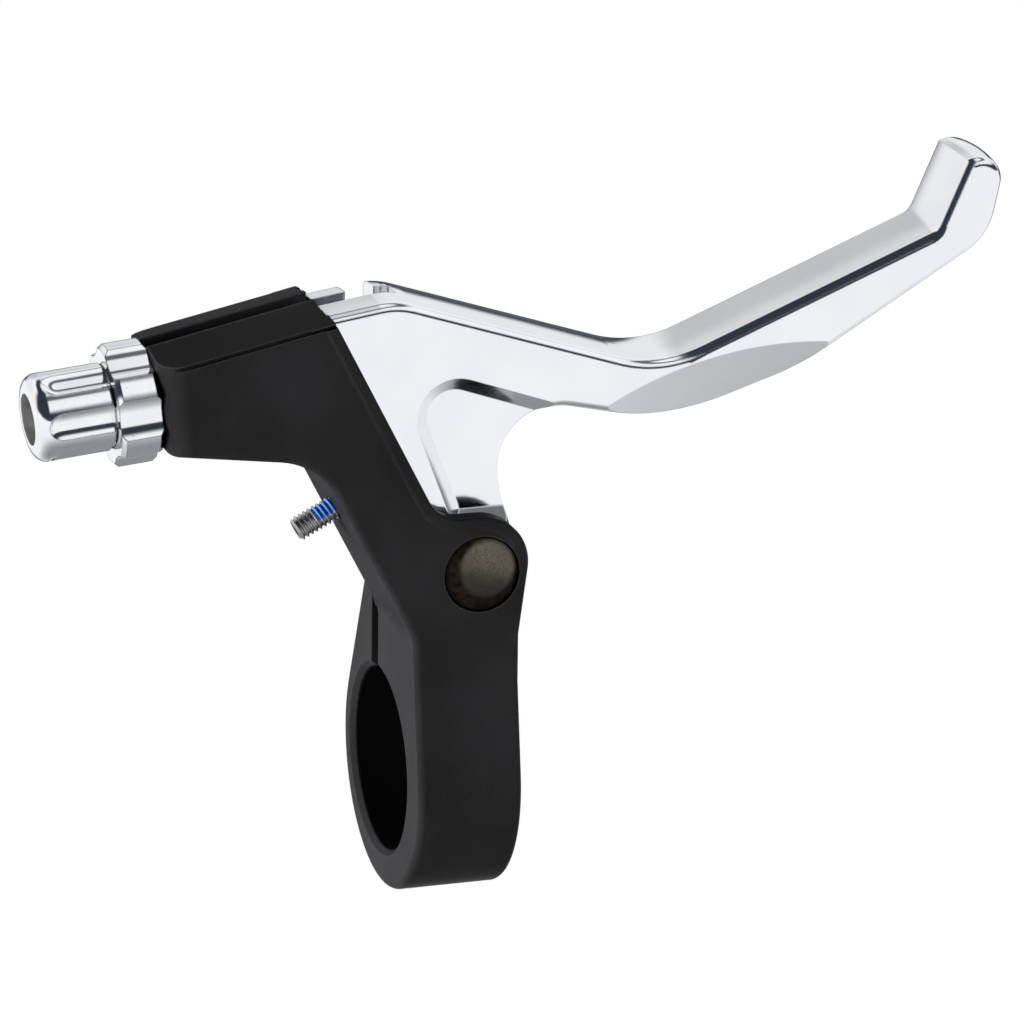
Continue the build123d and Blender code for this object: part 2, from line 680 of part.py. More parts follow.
with BuildPart() as return_spring:
    # Coil
    with BuildLine():
        coil = Helix(
            pitch=SPRING_PITCH,
            height=spring_front - spring_rear,
            radius=spring_radius,
            center=(PIVOT_X, -spring_rear, PIVOT_Z),
            direction=(0, -1, 0),
        )
    with BuildSketch(Plane(origin=coil @ 0, z_dir=coil % 0)):
        Circle(SPRING_WIRE / 2)
    sweep(is_frenet=True)
    # Tang into the rear ear, bent off the coil's rear end
    with BuildSketch(Plane.XZ.offset(spring_rear)):
        with Locations(tang_place):
            Circle(SPRING_WIRE / 2)
    extrude(amount=-SPRING_TANG)
    with Locations(coil @ 0):
        Sphere(SPRING_WIRE / 2)
    # Straight leg into the lever's notch
    with BuildSketch(Plane(origin=coil @ 1, z_dir=coil % 1)):
        Circle(SPRING_WIRE / 2)
    extrude(amount=SPRING_LEG)

with BuildPart() as barrel_adjuster:
    # Fluted grip with a rounded nose
    with BuildSketch(head_face.offset(barrel_foot)):
        Circle(BARREL_DIAMETER / 2)
    extrude(amount=BARREL_LENGTH)
    fillet(barrel_adjuster.faces().sort_by(outwards)[-1].edges(), BARREL_NOSE_ROUND)
    chamfer(barrel_adjuster.faces().sort_by(outwards)[0].edges(), BREAK_EDGE)
    with BuildSketch(head_face.offset(barrel_foot)):
        with PolarLocations(flute_centre, BARREL_FLUTES):
            Circle(FLUTE_RADIUS)
    extrude(amount=BARREL_LENGTH - FLUTE_SHORT, mode=Mode.SUBTRACT)
    with Locations(head_face.offset(barrel_nose - FLUTE_SHORT)):
        with PolarLocations(flute_centre, BARREL_FLUTES):
            Sphere(FLUTE_RADIUS, mode=Mode.SUBTRACT)
    # Threaded shank in the head
    with BuildSketch(head_face.offset(barrel_foot)):
        Circle(THREAD_DIAMETER / 2 - THREAD_GAP)
    extrude(amount=-(barrel_foot + THREAD_ENGAGED))
    # Socket for the cable's housing and cable hole
    with BuildSketch(head_face.offset(barrel_nose)):
        Circle(HOUSING_SOCKET_DIAMETER / 2)
    extrude(amount=-HOUSING_SOCKET_DEPTH, mode=Mode.SUBTRACT)
    with BuildSketch(head_face.offset(barrel_nose)):
        Circle(CABLE_HOLE_DIAMETER / 2)
    extrude(amount=-(barrel_nose + THREAD_ENGAGED), mode=Mode.SUBTRACT)

with BuildPart() as lock_nut:
    with BuildSketch(head_face.offset(FACE_GAP)):
        Circle(NUT_DIAMETER / 2)
    extrude(amount=NUT_HEIGHT)
    chamfer(lock_nut.edges().filter_by(GeomType.CIRCLE), NUT_CHAMFER)
    # Scallops for the fingers, and thread
    with BuildSketch(head_face.offset(FACE_GAP)):
        with PolarLocations(scallop_centre, NUT_LOBES):
            Circle(NUT_SCALLOP_RADIUS)
        Circle(THREAD_DIAMETER / 2)
    extrude(amount=NUT_HEIGHT, mode=Mode.SUBTRACT)

with BuildPart() as reach_screw:
    with BuildSketch(reach.offset(-HUB_RADIUS - STOP_GAP)):
        Circle(REACH_DIAMETER / 2)
    extrude(amount=-REACH_LENGTH)
    chamfer(reach_screw.edges().filter_by(GeomType.CIRCLE), BREAK_EDGE)
    with BuildSketch(reach.offset(-HUB_RADIUS - STOP_GAP - REACH_LENGTH)):
        hexagon(REACH_HEX)
    extrude(amount=REACH_HEX_DEPTH, mode=Mode.SUBTRACT)

with BuildPart() as clamp_washer:
    with BuildSketch(Plane.XZ.offset(-jaw_seat)):
        with Locations((0, CLAMP_BOLT_UP)):
            Circle(WASHER_DIAMETER / 2)
            Circle(CLAMP_BOLT_DIAMETER / 2 + BOLT_HOLE_GAP, mode=Mode.SUBTRACT)
    extrude(amount=-WASHER_THICKNESS)

with BuildPart() as clamp_bolt:
    # Socket head on the washer
    with BuildSketch(Plane.XZ.offset(-jaw_seat - WASHER_THICKNESS)):
        with Locations((0, CLAMP_BOLT_UP)):
            Circle(CLAMP_BOLT_HEAD_DIAMETER / 2)
    extrude(amount=-CLAMP_BOLT_HEAD_HEIGHT)
    fillet(clamp_bolt.faces().sort_by(Axis.Y)[-1].edges(), BREAK_EDGE)
    with BuildSketch(Plane.XZ.offset(-jaw_seat - WASHER_THICKNESS - CLAMP_BOLT_HEAD_HEIGHT)):
        with Locations((0, CLAMP_BOLT_UP)):
            hexagon(CLAMP_BOLT_HEX)
    extrude(amount=CLAMP_BOLT_HEX_DEPTH, mode=Mode.SUBTRACT)
    # Threaded shank through the jaw into the block
    with BuildSketch(Plane.XZ.offset(-jaw_seat - WASHER_THICKNESS)):
        with Locations((0, CLAMP_BOLT_UP)):
            Circle(CLAMP_BOLT_DIAMETER / 2)
    extrude(amount=CLAMP_BOLT_LENGTH)
    chamfer(clamp_bolt.faces().sort_by(Axis.Y)[0].edges(), BREAK_EDGE)

pieces = {
    "bracket": bracket,
    "lever": lever,
    "pivot_pin": pivot_pin,
    "pivot_screw": pivot_screw,
    "front_bush": front_bush,
    "rear_bush": rear_bush,
    "return_spring": return_spring,
    "barrel_adjuster": barrel_adjuster,
    "lock_nut": lock_nut,
    "reach_screw": reach_screw,
    "clamp_washer": clamp_washer,
    "clamp_bolt": clamp_bolt,
}
for name, piece in pieces.items():
    piece.part.label = name
    export_step(piece.part, f"parts/{name}.step")
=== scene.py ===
import json
import math

import bpy
from mathutils import Matrix, Vector


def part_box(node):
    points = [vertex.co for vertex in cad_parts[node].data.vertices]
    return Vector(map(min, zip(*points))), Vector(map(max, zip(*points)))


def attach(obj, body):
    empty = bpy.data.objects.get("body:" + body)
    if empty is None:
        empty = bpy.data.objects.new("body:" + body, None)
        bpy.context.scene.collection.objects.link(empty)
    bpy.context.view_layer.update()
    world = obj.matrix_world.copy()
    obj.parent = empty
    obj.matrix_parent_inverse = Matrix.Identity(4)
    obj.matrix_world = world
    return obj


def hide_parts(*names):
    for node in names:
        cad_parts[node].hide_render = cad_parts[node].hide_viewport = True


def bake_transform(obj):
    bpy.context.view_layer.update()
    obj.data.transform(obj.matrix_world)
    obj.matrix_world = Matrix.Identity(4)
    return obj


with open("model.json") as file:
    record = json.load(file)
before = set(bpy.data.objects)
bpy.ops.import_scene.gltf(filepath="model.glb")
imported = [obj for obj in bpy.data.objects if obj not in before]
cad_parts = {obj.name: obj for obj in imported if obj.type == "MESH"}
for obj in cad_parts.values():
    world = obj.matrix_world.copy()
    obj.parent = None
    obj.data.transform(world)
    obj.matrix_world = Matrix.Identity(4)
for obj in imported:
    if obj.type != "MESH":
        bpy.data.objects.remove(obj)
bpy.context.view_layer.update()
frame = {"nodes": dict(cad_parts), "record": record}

scene = bpy.context.scene
nodes = frame["nodes"]
joints = {joint["name"]: joint for joint in frame["record"]["behaviour"]["joints"]}
MM = 0.001

# Places on the brake lever
pivot = Vector(joints["lever_pivot"]["pos_m"])
head_end = Vector(joints["adjuster_turn"]["pos_m"])
adjuster_out = Vector(joints["adjuster_turn"]["axis"]).normalized()
reach_out = Vector(joints["reach_feed"]["axis"]).normalized()
across_body = Vector((0, -1, 0))
upwards = Vector((0, 0, 1))
HOUSING_RADIUS = 3.12 * MM
BAR_RADIUS = 11.15 * MM


def middle_of(node):
    """Middle of a solid's box."""
    low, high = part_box(node)
    return (Vector(low) + Vector(high)) / 2


# Shader sums

def plug(node, sockets):
    """Gives a node's sockets their links or their values."""
    for name, value in sockets.items():
        if isinstance(value, Wire):
            node.id_data.links.new(value.socket, node.inputs[name])
        else:
            node.inputs[name].default_value = value


class Wire:
    """A value in a material's nodes, used in sums like a number."""

    def __init__(self, tree, socket=None):
        self.tree = tree
        self.socket = socket

    def node(self, kind, settings=None, sockets=None, output=0):
        """Adds a node: first its settings, then the values or links of its sockets."""
        new = self.tree.nodes.new(kind)
        for name, value in (settings or {}).items():
            setattr(new, name, value)
        plug(new, sockets or {})
        return Wire(self.tree, new.outputs[output])

    def maths(self, operation, first, second):
        """Adds a sum of two values."""
        return self.node("ShaderNodeMath", {"operation": operation}, {0: first, 1: second})

    def __add__(self, other):
        return self.maths("ADD", self, other)

    def __sub__(self, other):
        return self.maths("SUBTRACT", self, other)

    def __rsub__(self, other):
        return self.maths("SUBTRACT", other, self)

    def __mul__(self, other):
        return self.maths("MULTIPLY", self, other)

    def __pow__(self, other):
        return self.maths("POWER", self, other)

    def __or__(self, other):
        return self.maths("MAXIMUM", self, other)

    __radd__ = __add__

    def ease(self, low, high):
        """0 below low, 1 above high, smooth in between."""
        settings = {"interpolation_type": "SMOOTHSTEP"}
        return self.node("ShaderNodeMapRange", settings, {"Value": self, "From Min": low, "From Max": high})

    def axes(self):
        """The three numbers of a vector."""
        split = self.node("ShaderNodeSeparateXYZ", sockets={"Vector": self}).socket.node
        return [Wire(self.tree, output) for output in split.outputs]


# Sockets of a mix of two colours
FIRST_COLOUR = 6
SECOND_COLOUR = 7
MIXED_COLOUR = 2


def new_finish(name):
    """A new material, with its shader and the place on the piece."""
    material = bpy.data.materials.new(name)
    material.use_nodes = True
    shader = material.node_tree.nodes["Principled BSDF"]
    place = Wire(material.node_tree).node("ShaderNodeTexCoord", output="Object")
    return material, shader, place


def noise(place, size_mm, detail=2.0):
    """Noise with blotches of about that size."""
    sockets = {"Vector": place, "Scale": 1 / (size_mm * MM), "Detail": detail}
    return place.node("ShaderNodeTexNoise", sockets=sockets, output="Fac")


def blend(mask, first, second):
    """First colour where the mask is 0, second where it is 1."""
    sockets = {"Factor": mask, FIRST_COLOUR: first, SECOND_COLOUR: second}
    return mask.node("ShaderNodeMix", {"data_type": "RGBA"}, sockets, MIXED_COLOUR)


def mottle(cloud, first, second):
    """Two colours in soft patches."""
    return blend(cloud.ease(0.3, 0.7), first, second)


def raised(height, depth_mm, strength, normal=None):
    """Bump of that depth."""
    sockets = {"Height": height, "Distance": depth_mm * MM, "Strength": strength}
    if normal is not None:
        sockets["Normal"] = normal
    return height.node("ShaderNodeBump", sockets=sockets)


def soft_edge(place, radius_mm):
    """Normal with the sharp edges rounded a little."""
    return place.node("ShaderNodeBevel", {"samples": 6}, {"Radius": radius_mm * MM})


def edge_mask(rounded, low, high):
    """1 along sharp edges, where the rounded normal leaves the face's own."""
    flat = rounded.node("ShaderNodeNewGeometry", output="Normal")
    settings = {"operation": "DOT_PRODUCT"}
    agree = rounded.node("ShaderNodeVectorMath", settings, {0: rounded, 1: flat}, "Value")
    return (1 - agree).ease(low, high)


def crevice(place, reach_mm):
    """1 deep in grooves and corners, 0 on open faces."""
    settings = {"samples": 8}
    open_sky = place.node("ShaderNodeAmbientOcclusion", settings, {"Distance": reach_mm * MM}, "AO")
    return 1 - open_sky.ease(0.35, 0.85)


def centred(place, centre, out):
    """Place on a round piece, with its axis turned to Z."""
    turn = out.rotation_difference(upwards)
    sockets = {"Vector": place, "Location": -(turn @ centre), "Rotation": turn.to_euler()}
    return place.node("ShaderNodeMapping", sockets=sockets)


def radius_of(x, y):
    """Distance from the axis."""
    return (x * x + y * y) ** 0.5


# Black paint of the bracket, with a painted highlight along its edges and painted shade in its grooves,
# corners and bore
PAINT_DARK = (0.0055, 0.0053, 0.0056, 1)
PAINT_PALE = (0.0082, 0.0080, 0.0086, 1)
PAINT_SPECK = (0.018, 0.0175, 0.0185, 1)
# Painted highlight along the sharp edges
PAINT_EDGE_SHEEN = (0.042, 0.042, 0.044, 1)
# Painted shade, near black, for the grooves, corners and the bar's bore
PAINT_SHADE_BLACK = (0.001, 0.001, 0.001, 1)
BORE_FADE = 0.2 * MM


def black_paint():
    """Satin black paint with orange peel and specks, a painted highlight along its edges, painted shade in
    its grooves and corners, and painted shade inside the bar's bore.
    """
    material, shader, place = new_finish("black_paint")
    rounded = soft_edge(place, radius_mm=0.3)
    # Painted shade: near black deep in grooves and corners
    deep = crevice(place, reach_mm=1.5)
    # Painted highlight: a lighter colour along the sharp edges, kept out of the grooves
    edge_sheen_painted = edge_mask(rounded, low=0.02, high=0.2) * (1 - deep)
    _, y, z = place.axes()
    # Painted shade: the bar's bore is made near black and rougher
    bore = 1 - radius_of(y, z).ease(BAR_RADIUS, BAR_RADIUS + BORE_FADE)
    cloud = noise(place, size_mm=14, detail=3.0)
    peel = noise(place, size_mm=0.55)
    speck = noise(place, size_mm=0.16, detail=1.0).ease(0.58, 0.75)
    tone = mottle(cloud, PAINT_DARK, PAINT_PALE)
    tone = blend(speck * 0.35, tone, PAINT_SPECK)
    # Painted highlight along the edges
    tone = blend(edge_sheen_painted * 0.6, tone, PAINT_EDGE_SHEEN)
    # Painted shade in the grooves and corners
    tone = blend(deep * 0.85, tone, PAINT_SHADE_BLACK)
    # Painted shade inside the bar's bore
    tone = blend(bore, tone, PAINT_SHADE_BLACK)
    plug(shader, {
        "Base Color": tone,
        "Roughness": 0.30 + cloud * 0.10 + speck * 0.12 - edge_sheen_painted * 0.06 + bore * 0.4,
        "Specular IOR Level": 0.02,
        "Normal": raised(peel + speck * 0.3, depth_mm=0.012, strength=0.5, normal=rounded),
    })
    return material


# Polished alloy of the lever
ALLOY_DULL = (0.89, 0.895, 0.91, 1)
ALLOY_BRIGHT = (0.93, 0.935, 0.945, 1)
ALLOY_PIT = (0.55, 0.56, 0.58, 1)
HAIR_STRETCH = (0.06, 1.0, 1.0)


def polished_alloy():
    """Forged alloy, tumbled and polished along the blade, with faint hairlines."""
    material, shader, place = new_finish("polished_alloy")
    rounded = soft_edge(place, radius_mm=0.25)
    along = place.node("ShaderNodeMapping", sockets={"Vector": place, "Scale": HAIR_STRETCH})
    hair = noise(along, size_mm=0.25, detail=3.0)
    cloud = noise(place, size_mm=9, detail=3.0)
    pit = noise(place, size_mm=0.30).ease(0.66, 0.80)
    tone = mottle(cloud, ALLOY_DULL, ALLOY_BRIGHT)
    tone = blend(pit * 0.10, tone, ALLOY_PIT)
    plug(shader, {
        "Base Color": tone,
        "Metallic": 1.0,
        "Roughness": 0.08 + hair * 0.05 + cloud * 0.03 + pit * 0.04,
        "Normal": raised(hair + cloud * 2.0 - pit * 0.15, depth_mm=0.004, strength=0.5, normal=rounded),
    })
    return material


# Black oxide of the clamp bolt
OXIDE_DARK = (0.030, 0.027, 0.024, 1)
OXIDE_BROWN = (0.065, 0.055, 0.046, 1)
OXIDE_WORN = (0.16, 0.145, 0.13, 1)


def dark_steel():
    """Black-oxide steel, a little worn along its edges."""
    material, shader, place = new_finish("clamp_bolt_oxide")
    rounded = soft_edge(place, radius_mm=0.15)
    worn = edge_mask(rounded, low=0.02, high=0.25)
    cloud = noise(place, size_mm=1.6, detail=3.0)
    tone = blend(cloud.ease(0.35, 0.7), OXIDE_DARK, OXIDE_BROWN)
    tone = blend(worn * 0.5, tone, OXIDE_WORN)
    plug(shader, {
        "Base Color": tone,
        "Metallic": 0.75,
        "Roughness": 0.32 + cloud * 0.18 - worn * 0.06,
        "Normal": raised(cloud * 1.2, depth_mm=0.010, strength=0.6, normal=rounded),
    })
    return material


# Black oxide of the pivot pin, with the worn part of its crown set off to the upper right and brightened
# towards the top as a painted highlight
PIN_BLACK = (0.002, 0.0018, 0.0016, 1)
PIN_RUBBED_AND_LIT = (0.030, 0.027, 0.024, 1)
# Painted highlight on the top of the crown
PIN_HIGHLIGHT_PAINTED = (0.125, 0.115, 0.088, 1)
PIN_RUST = (0.013, 0.007, 0.004, 1)
PIN_GRAIN = (0.018, 0.016, 0.014, 1)
# Shift of the worn crown to the upper right: a painted highlight where light falls on the dome
LIT_SHIFT_RIGHT = 0.6 * MM
LIT_SHIFT_UP = 0.7 * MM
RUB_LIT_INNER = 2.6 * MM
RUB_LIT_OUTER = 3.8 * MM
RUB_LIT_RAGGED = 0.5 * MM
# Painted highlight: how it rises towards the top of the crown
HIGHLIGHT_LOW = -1.5 * MM
HIGHLIGHT_HIGH = 3.5 * MM
HIGHLIGHT_RAGGED = 2.0 * MM


def pin_oxide():
    """Black-oxide pin head, worn bare on its crown and a little rusty round its rim; the bare crown is set
    off to the upper right and brighter towards the top, a painted highlight.
    """
    material, shader, place = new_finish("pivot_oxide")
    rounded = soft_edge(place, radius_mm=0.15)
    x, y, _ = centred(place, pivot, across_body).axes()
    cloud = noise(place, size_mm=1.3, detail=3.0)
    grain = noise(place, size_mm=0.25)
    # Worn bare crown, partly real wear and partly a painted highlight: its disc is set off to the upper
    # right, leaving painted shade to the lower left
    reach = radius_of(x - LIT_SHIFT_RIGHT, y - LIT_SHIFT_UP) + (cloud - 0.5) * RUB_LIT_RAGGED
    rubbed_and_lit = 1 - reach.ease(RUB_LIT_INNER, RUB_LIT_OUTER)
    rust = noise(place, size_mm=0.9).ease(0.40, 0.60) * (1 - rubbed_and_lit)
    # Painted highlight: the crown gets brighter towards the top and a little to the right
    top_highlight_painted = (y + x * 0.3 + (cloud - 0.5) * HIGHLIGHT_RAGGED).ease(HIGHLIGHT_LOW, HIGHLIGHT_HIGH) * rubbed_and_lit
    # Worn crown, lighter, set off to the upper right as a painted highlight
    tone = blend(rubbed_and_lit, PIN_BLACK, PIN_RUBBED_AND_LIT)
    # Painted highlight on the crown
    tone = blend(top_highlight_painted, tone, PIN_HIGHLIGHT_PAINTED)
    tone = blend(rust * 0.35, tone, PIN_RUST)
    tone = blend(grain.ease(0.45, 0.70) * rubbed_and_lit * 0.45, tone, PIN_GRAIN)
    plug(shader, {
        "Base Color": tone,
        "Metallic": 0.2 + rubbed_and_lit * 0.6,
        "Specular IOR Level": 0.04,
        "Roughness": 0.44 + cloud * 0.10 - rubbed_and_lit * 0.06,
        "Normal": raised(cloud * 0.6 + grain * 0.4, depth_mm=0.008, strength=0.5, normal=rounded),
    })
    return material


# Chrome of the adjuster and its nut, with a painted dark reflection along its edges
CHROME_HAZY = (0.90, 0.90, 0.91, 1)
CHROME_CLEAR = (0.96, 0.96, 0.97, 1)
CHROME_FLECK = (0.60, 0.59, 0.58, 1)
# Painted dark reflection along sharp edges
CHROME_EDGE_REFLECTION = (0.06, 0.062, 0.06, 1)
LINER_DARK = (0.08, 0.08, 0.077, 1)
LINER_PALE = (0.20, 0.20, 0.193, 1)
LINER_FADE = 0.1 * MM


def bright_chrome():
    """Chrome plate with a painted dark reflection along its sharp edges, and a bare bore for the cable's
    housing.
    """
    material, shader, place = new_finish("bright_chrome")
    rounded = soft_edge(place, radius_mm=0.2)
    # Painted dark reflection: near black along the sharp edges
    edge_dark_reflection = edge_mask(rounded, low=0.004, high=0.06)
    x, y, _ = centred(place, head_end, adjuster_out).axes()
    bare = 1 - radius_of(x, y).ease(HOUSING_RADIUS, HOUSING_RADIUS + LINER_FADE)
    haze = noise(place, size_mm=3.5, detail=3.0)
    fleck = noise(place, size_mm=0.3, detail=1.0).ease(0.66, 0.8)
    tone = mottle(haze, CHROME_HAZY, CHROME_CLEAR)
    tone = blend(fleck * 0.3, tone, CHROME_FLECK)
    # Painted dark reflection along the edges
    tone = blend(edge_dark_reflection * 0.85, tone, CHROME_EDGE_REFLECTION)
    tone = blend(bare, tone, mottle(haze, LINER_DARK, LINER_PALE))
    plug(shader, {
        "Base Color": tone,
        "Metallic": 1 - bare * 0.85,
        "Roughness": 0.07 + haze * 0.06 + fleck * 0.1 + bare * 0.35,
        "Normal": raised(haze, depth_mm=0.002, strength=0.4, normal=rounded),
    })
    return material


# Zinc of the small fasteners, and the thread lock on the reach screw from its inner end
ZINC_DULL = (0.40, 0.40, 0.39, 1)
ZINC_BRIGHT = (0.62, 0.62, 0.61, 1)
LOCK_BLUE = (0.035, 0.10, 0.28, 1)
LOCK_FROM = 3.6 * MM
LOCK_TO = 7.6 * MM
LOCK_FADE = 0.6 * MM
LOCK_RAGGED = 0.6 * MM
LOCK_SIDE_LOW = -0.2 * MM
LOCK_SIDE_HIGH = 0.3 * MM


def zinc_steel(name, patch=None):
    """Zinc-plated steel, mottled, with a patch of blue thread lock where the screw has one."""
    material, shader, place = new_finish(name)
    rounded = soft_edge(place, radius_mm=0.1)
    bloom = noise(place, size_mm=1.1, detail=3.0)
    grain = noise(place, size_mm=0.2)
    tone = mottle(bloom, ZINC_DULL, ZINC_BRIGHT)
    metal = 1.0
    rough = 0.26 + bloom * 0.16
    if patch is not None:
        start, out, top = patch
        x, y, z = centred(place, start, out).axes()
        side = out.rotation_difference(upwards) @ top
        ragged = (grain - 0.5) * LOCK_RAGGED
        along = z + ragged
        blue = along.ease(LOCK_FROM, LOCK_FROM + LOCK_FADE)
        blue = blue * (1 - along.ease(LOCK_TO - LOCK_FADE, LOCK_TO))
        blue = blue * (ragged + y * side.y + x * side.x).ease(LOCK_SIDE_LOW, LOCK_SIDE_HIGH)
        tone = blend(blue, tone, LOCK_BLUE)
        metal = 1 - blue * 0.85
        rough = rough + blue * 0.15
    plug(shader, {
        "Base Color": tone,
        "Metallic": metal,
        "Roughness": rough,
        "Normal": raised(grain + bloom, depth_mm=0.005, strength=0.5, normal=rounded),
    })
    return material


# Wire of the return spring
WIRE_DARK = (0.20, 0.20, 0.22, 1)
WIRE_PALE = (0.38, 0.38, 0.39, 1)


def spring_steel():
    """Drawn spring wire with an oily blue-grey skin."""
    material, shader, place = new_finish("spring_steel")
    skin = noise(place, size_mm=0.8, detail=3.0)
    draw = noise(place, size_mm=0.12)
    plug(shader, {
        "Base Color": mottle(skin, WIRE_DARK, WIRE_PALE),
        "Metallic": 1.0,
        "Roughness": 0.28 + skin * 0.15,
        "Normal": raised(draw, depth_mm=0.004, strength=0.5),
    })
    return material


# Plastic of the bushes
PLASTIC_DARK = (0.018, 0.018, 0.019, 1)
PLASTIC_PALE = (0.035, 0.035, 0.036, 1)


def bearing_plastic():
    """Moulded dark plastic with a fine spark-eroded texture."""
    material, shader, place = new_finish("bearing_plastic")
    grain = noise(place, size_mm=0.15)
    cloud = noise(place, size_mm=3.0)
    plug(shader, {
        "Base Color": mottle(cloud, PLASTIC_DARK, PLASTIC_PALE),
        "Roughness": 0.45 + grain * 0.15,
        "Normal": raised(grain, depth_mm=0.008, strength=0.6),
    })
    return material


# Modelling by hand
WELD = 0.002 * MM
CUT_TOLERANCE = 0.0001 * MM
SMOOTH_BELOW = math.radians(35)
FLANK_SHARE = 0.36
FLAT_SHARE = 0.14


def deselect():
    """Leaves edit mode with nothing selected."""
    if bpy.context.object and bpy.context.object.mode != "OBJECT":
        bpy.ops.object.mode_set(mode="OBJECT")
    bpy.ops.object.select_all(action="DESELECT")


def pick(piece):
    """Selects one piece alone."""
    deselect()
    piece.select_set(True)
    bpy.context.view_layer.objects.active = piece


def apply_modifier(piece, kind, **settings):
    """Adds a modifier and applies it."""
    modifier = piece.modifiers.new(kind.lower(), kind)
    for name, value in settings.items():
        setattr(modifier, name, value)
    bpy.context.view_layer.objects.active = piece
    bpy.ops.object.modifier_apply(modifier=modifier.name)


def tidy_mesh():
    """Merges doubles, drops faces without area and turns the rest outwards, in edit mode."""
    bpy.ops.mesh.select_all(action="SELECT")
    bpy.ops.mesh.remove_doubles(threshold=WELD)
    bpy.ops.mesh.dissolve_degenerate(threshold=WELD)
    bpy.ops.mesh.select_all(action="SELECT")
    bpy.ops.mesh.normals_make_consistent(inside=False)


def draw_out(*step):
    """Extrudes the selection by a step, in edit mode."""
    bpy.ops.mesh.extrude_region_move(TRANSFORM_OT_translate={"value": step})


def thread_profile(root, crest, pitch):
    """One turn of a thread's profile as a line, from a plane merged to a point and extruded."""
    deselect()
    bpy.ops.mesh.primitive_plane_add(size=MM)
    bpy.ops.object.mode_set(mode="EDIT")
    bpy.ops.mesh.select_mode(type="VERT")
    bpy.ops.mesh.merge(type="CENTER")
    bpy.ops.transform.translate(value=(root, 0, 0))
    rise = crest - root
    flank = pitch * FLANK_SHARE
    flat = pitch * FLAT_SHARE
    draw_out(rise, 0, flank)
    draw_out(0, 0, flat)
    draw_out(-rise, 0, flank)
    draw_out(0, 0, flat)
    bpy.ops.object.mode_set(mode="OBJECT")
    return bpy.context.object


def cut_flat(height, keep_above):
    """Cuts the mesh across at a height and closes it, in edit mode."""
    bpy.ops.mesh.select_all(action="SELECT")
    bpy.ops.mesh.bisect(
        plane_co=(0, 0, height),
        plane_no=(0, 0, 1),
        use_fill=True,
        clear_inner=keep_above,
        clear_outer=not keep_above,
        threshold=CUT_TOLERANCE,
    )


def cut_with(piece, tool, operation):
    """Cuts a piece with a tool body, which is then thrown away."""
    apply_modifier(piece, "BOOLEAN", operation=operation, object=tool, solver="EXACT")
    bpy.data.objects.remove(tool)


def plain_rod(sides, radius, bottom, top):
    """Straight rod along Z."""
    deselect()
    bpy.ops.mesh.primitive_cylinder_add(
        vertices=sides, radius=radius, depth=top - bottom, location=(0, 0, (bottom + top) / 2)
    )
    bpy.ops.object.transform_apply(location=True)
    return bpy.context.object


def chamfered_rod(sides, radius, bottom, top, chamfer):
    """Straight rod along Z with chamfered ends."""
    rod = plain_rod(sides, radius, bottom, top)
    bpy.ops.object.mode_set(mode="EDIT")
    bpy.ops.mesh.select_mode(type="FACE")
    bpy.ops.mesh.select_all(action="DESELECT")
    bpy.ops.object.mode_set(mode="OBJECT")
    for face in rod.data.polygons:
        face.select = abs(face.normal.z) > 0.9
    bpy.ops.object.mode_set(mode="EDIT")
    bpy.ops.mesh.bevel(offset=chamfer, segments=1)
    bpy.ops.object.mode_set(mode="OBJECT")
    return rod


def threaded_rod(name, root, crest, pitch, length, sides):
    """A rod along Z from 0 with a real helical thread and flat ends."""
    rod = thread_profile(root, crest, pitch)
    rod.name = name
    turns = math.ceil(length / pitch) + 2
    apply_modifier(
        rod, "SCREW", axis="Z", angle=2 * math.pi, screw_offset=pitch, iterations=turns,
        steps=sides, render_steps=sides,
    )
    bpy.ops.object.mode_set(mode="EDIT")
    tidy_mesh()
    bpy.ops.transform.translate(value=(0, 0, -pitch))
    cut_flat(0, True)
    cut_flat(length, False)
    tidy_mesh()
    bpy.ops.object.mode_set(mode="OBJECT")
    return rod


def put_in_place(piece, place, out):
    """Turns the piece's Z to a direction, moves it to its place and applies both."""
    pick(piece)
    turn = upwards.rotation_difference(out)
    piece.matrix_world = Matrix.Translation(place) @ turn.to_matrix().to_4x4()
    bpy.ops.object.transform_apply(location=True, rotation=True, scale=True)


def finish_piece(piece, material):
    """Smooth shading, material and slot of a new piece."""
    pick(piece)
    bpy.ops.object.mode_set(mode="EDIT")
    tidy_mesh()
    bpy.ops.object.mode_set(mode="OBJECT")
    bpy.ops.object.shade_smooth_by_angle(angle=SMOOTH_BELOW)
    piece.data.materials.clear()
    piece.data.materials.append(material)


# Reach screw
REACH_RADIUS = 1.5 * MM
REACH_ROOT = 1.2 * MM
REACH_LENGTH = 10.0 * MM
REACH_PITCH = 0.6 * MM
REACH_CHAMFER = 0.35 * MM
REACH_SIDES = 36
BLANK_SIDES = 48
BLANK_OVER = 0.01 * MM
KEY_ACROSS = 1.5 * MM
KEY_DEPTH = 1.6 * MM


